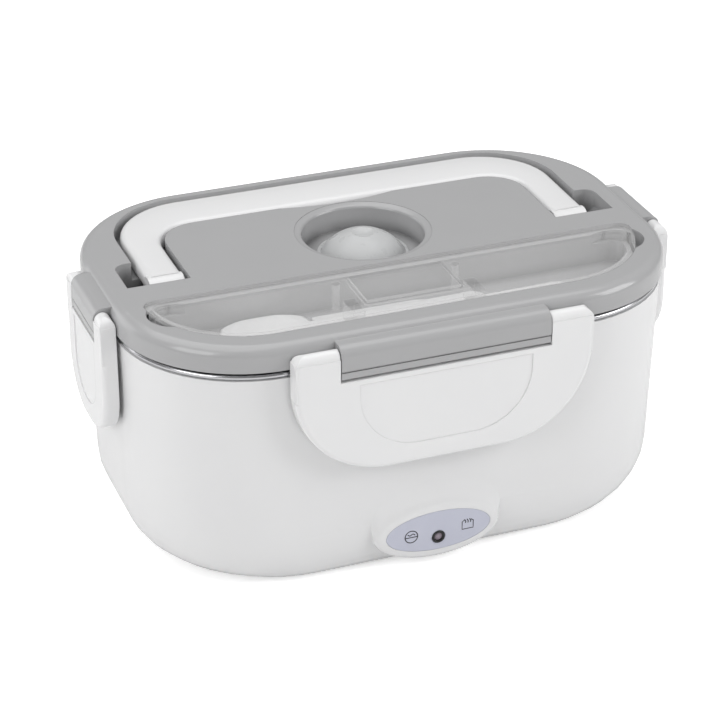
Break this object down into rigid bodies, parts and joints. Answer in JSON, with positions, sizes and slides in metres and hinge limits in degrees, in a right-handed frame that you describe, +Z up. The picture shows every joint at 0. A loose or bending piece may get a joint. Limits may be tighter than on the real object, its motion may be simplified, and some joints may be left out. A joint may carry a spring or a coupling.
{
  "type": "electric lunch box",
  "caption": "Portable electric lunch box: oblong heated base, steel food pot, lift-off lid with side latches, fold-up handle, steam vent and a clear cutlery cover.",
  "frame": {"origin": "centre of the footprint on the table under the feet", "axes": "+X along the long side, -Y the front with the lamp, +Z up"},
  "size_m": [0.244, 0.163, 0.1105],
  "materials": {
    "shell_plastic": "glossy white",
    "liner_plastic": "satin white",
    "lid_plastic": "glossy light grey",
    "cover_plastic": "clear, slightly grey",
    "cutlery_plastic": "pale grey",
    "tray_plastic": "satin white",
    "seal_rubber": "pale silicone",
    "vent_rubber": "translucent silicone",
    "foot_rubber": "dull black",
    "pot_steel": "brushed",
    "plate_aluminium": "die cast",
    "screw_steel": "zinc plated",
    "pad_fabric": "mineral felt",
    "black_plastic": "satin black",
    "board": "green lacquer",
    "lamp_lens": "clear, dark when off",
    "label_foil": "satin blue-grey",
    "pin_brass": "nickelled",
    "red_wire": "sleeved",
    "blue_wire": "sleeved",
    "grey_wire": "sleeved"
  },
  "bodies": {
    "base": {"outer_shell": "shell_plastic", "inner_liner": "liner_plastic", "case_screws": "screw_steel", "rubber_feet": "foot_rubber", "heating_plate": "plate_aluminium", "ptc_heater": "plate_aluminium", "insulation_pad": "pad_fabric", "heater_clamp": "screw_steel", "clamp_screws": "screw_steel", "thermal_cutout": "black_plastic", "thermal_fuse": "screw_steel", "mains_inlet": "black_plastic", "inlet_pins": "pin_brass", "indicator_board": "board", "indicator_lamp": "lamp_lens", "lamp_sleeve": "black_plastic", "front_label": "label_foil", "live_wire": "red_wire", "neutral_wire": "blue_wire", "lamp_wires": "grey_wire"},
    "pot": {"steel_pot": "pot_steel"},
    "tray": {"food_tray": "tray_plastic"},
    "lid": {"lid_shell": "lid_plastic", "lid_gasket": "seal_rubber"},
    "vent": {"vent_plug": "vent_rubber"},
    "handle": {"carry_handle": "shell_plastic"},
    "cover": {"cutlery_cover": "cover_plastic"},
    "spoon": {"spoon": "cutlery_plastic"},
    "fork": {"fork": "cutlery_plastic"},
    "front_latch": {"front_latch": "shell_plastic"},
    "rear_latch": {"rear_latch": "shell_plastic"},
    "left_latch": {"left_latch": "shell_plastic"},
    "right_latch": {"right_latch": "shell_plastic"}
  },
  "joints": [
    {"name": "pot_lift", "type": "slide", "parent": "base", "child": "pot", "axis": [0, 0, 1], "range_m": [0, 0.065]},
    {"name": "tray_lift", "type": "slide", "parent": "pot", "child": "tray", "axis": [0, 0, 1], "range_m": [0, 0.062]},
    {"name": "lid_lift", "type": "slide", "parent": "tray", "child": "lid", "axis": [0, 0, 1], "range_m": [0, 0.06]},
    {"name": "front_latch_hinge", "type": "hinge", "parent": "lid", "child": "front_latch", "pos_m": [0, -0.078, 0.1042], "axis": [-1, 0, 0], "range_deg": [0, 105]},
    {"name": "rear_latch_hinge", "type": "hinge", "parent": "lid", "child": "rear_latch", "pos_m": [0, 0.078, 0.1016], "axis": [1, 0, 0], "range_deg": [0, 105]},
    {"name": "left_latch_hinge", "type": "hinge", "parent": "lid", "child": "left_latch", "pos_m": [-0.1185, 0, 0.1042], "axis": [0, 1, 0], "range_deg": [0, 105]},
    {"name": "right_latch_hinge", "type": "hinge", "parent": "lid", "child": "right_latch", "pos_m": [0.1185, 0, 0.1042], "axis": [0, -1, 0], "range_deg": [0, 105]},
    {"name": "handle_hinge", "type": "hinge", "parent": "lid", "child": "handle", "pos_m": [0, 0.0005, 0.1035], "axis": [1, 0, 0], "range_deg": [0, 90]},
    {"name": "vent_lift", "type": "slide", "parent": "lid", "child": "vent", "axis": [0, 0, 1], "range_m": [0, 0.003]},
    {"name": "fork_lift", "type": "slide", "parent": "lid", "child": "fork", "axis": [0, 0, 1], "range_m": [0, 0.02]},
    {"name": "spoon_lift", "type": "slide", "parent": "fork", "child": "spoon", "axis": [0, 0, 1], "range_m": [0, 0.02]},
    {"name": "cover_lift", "type": "slide", "parent": "spoon", "child": "cover", "axis": [0, 0, 1], "range_m": [0, 0.02]}
  ]
}
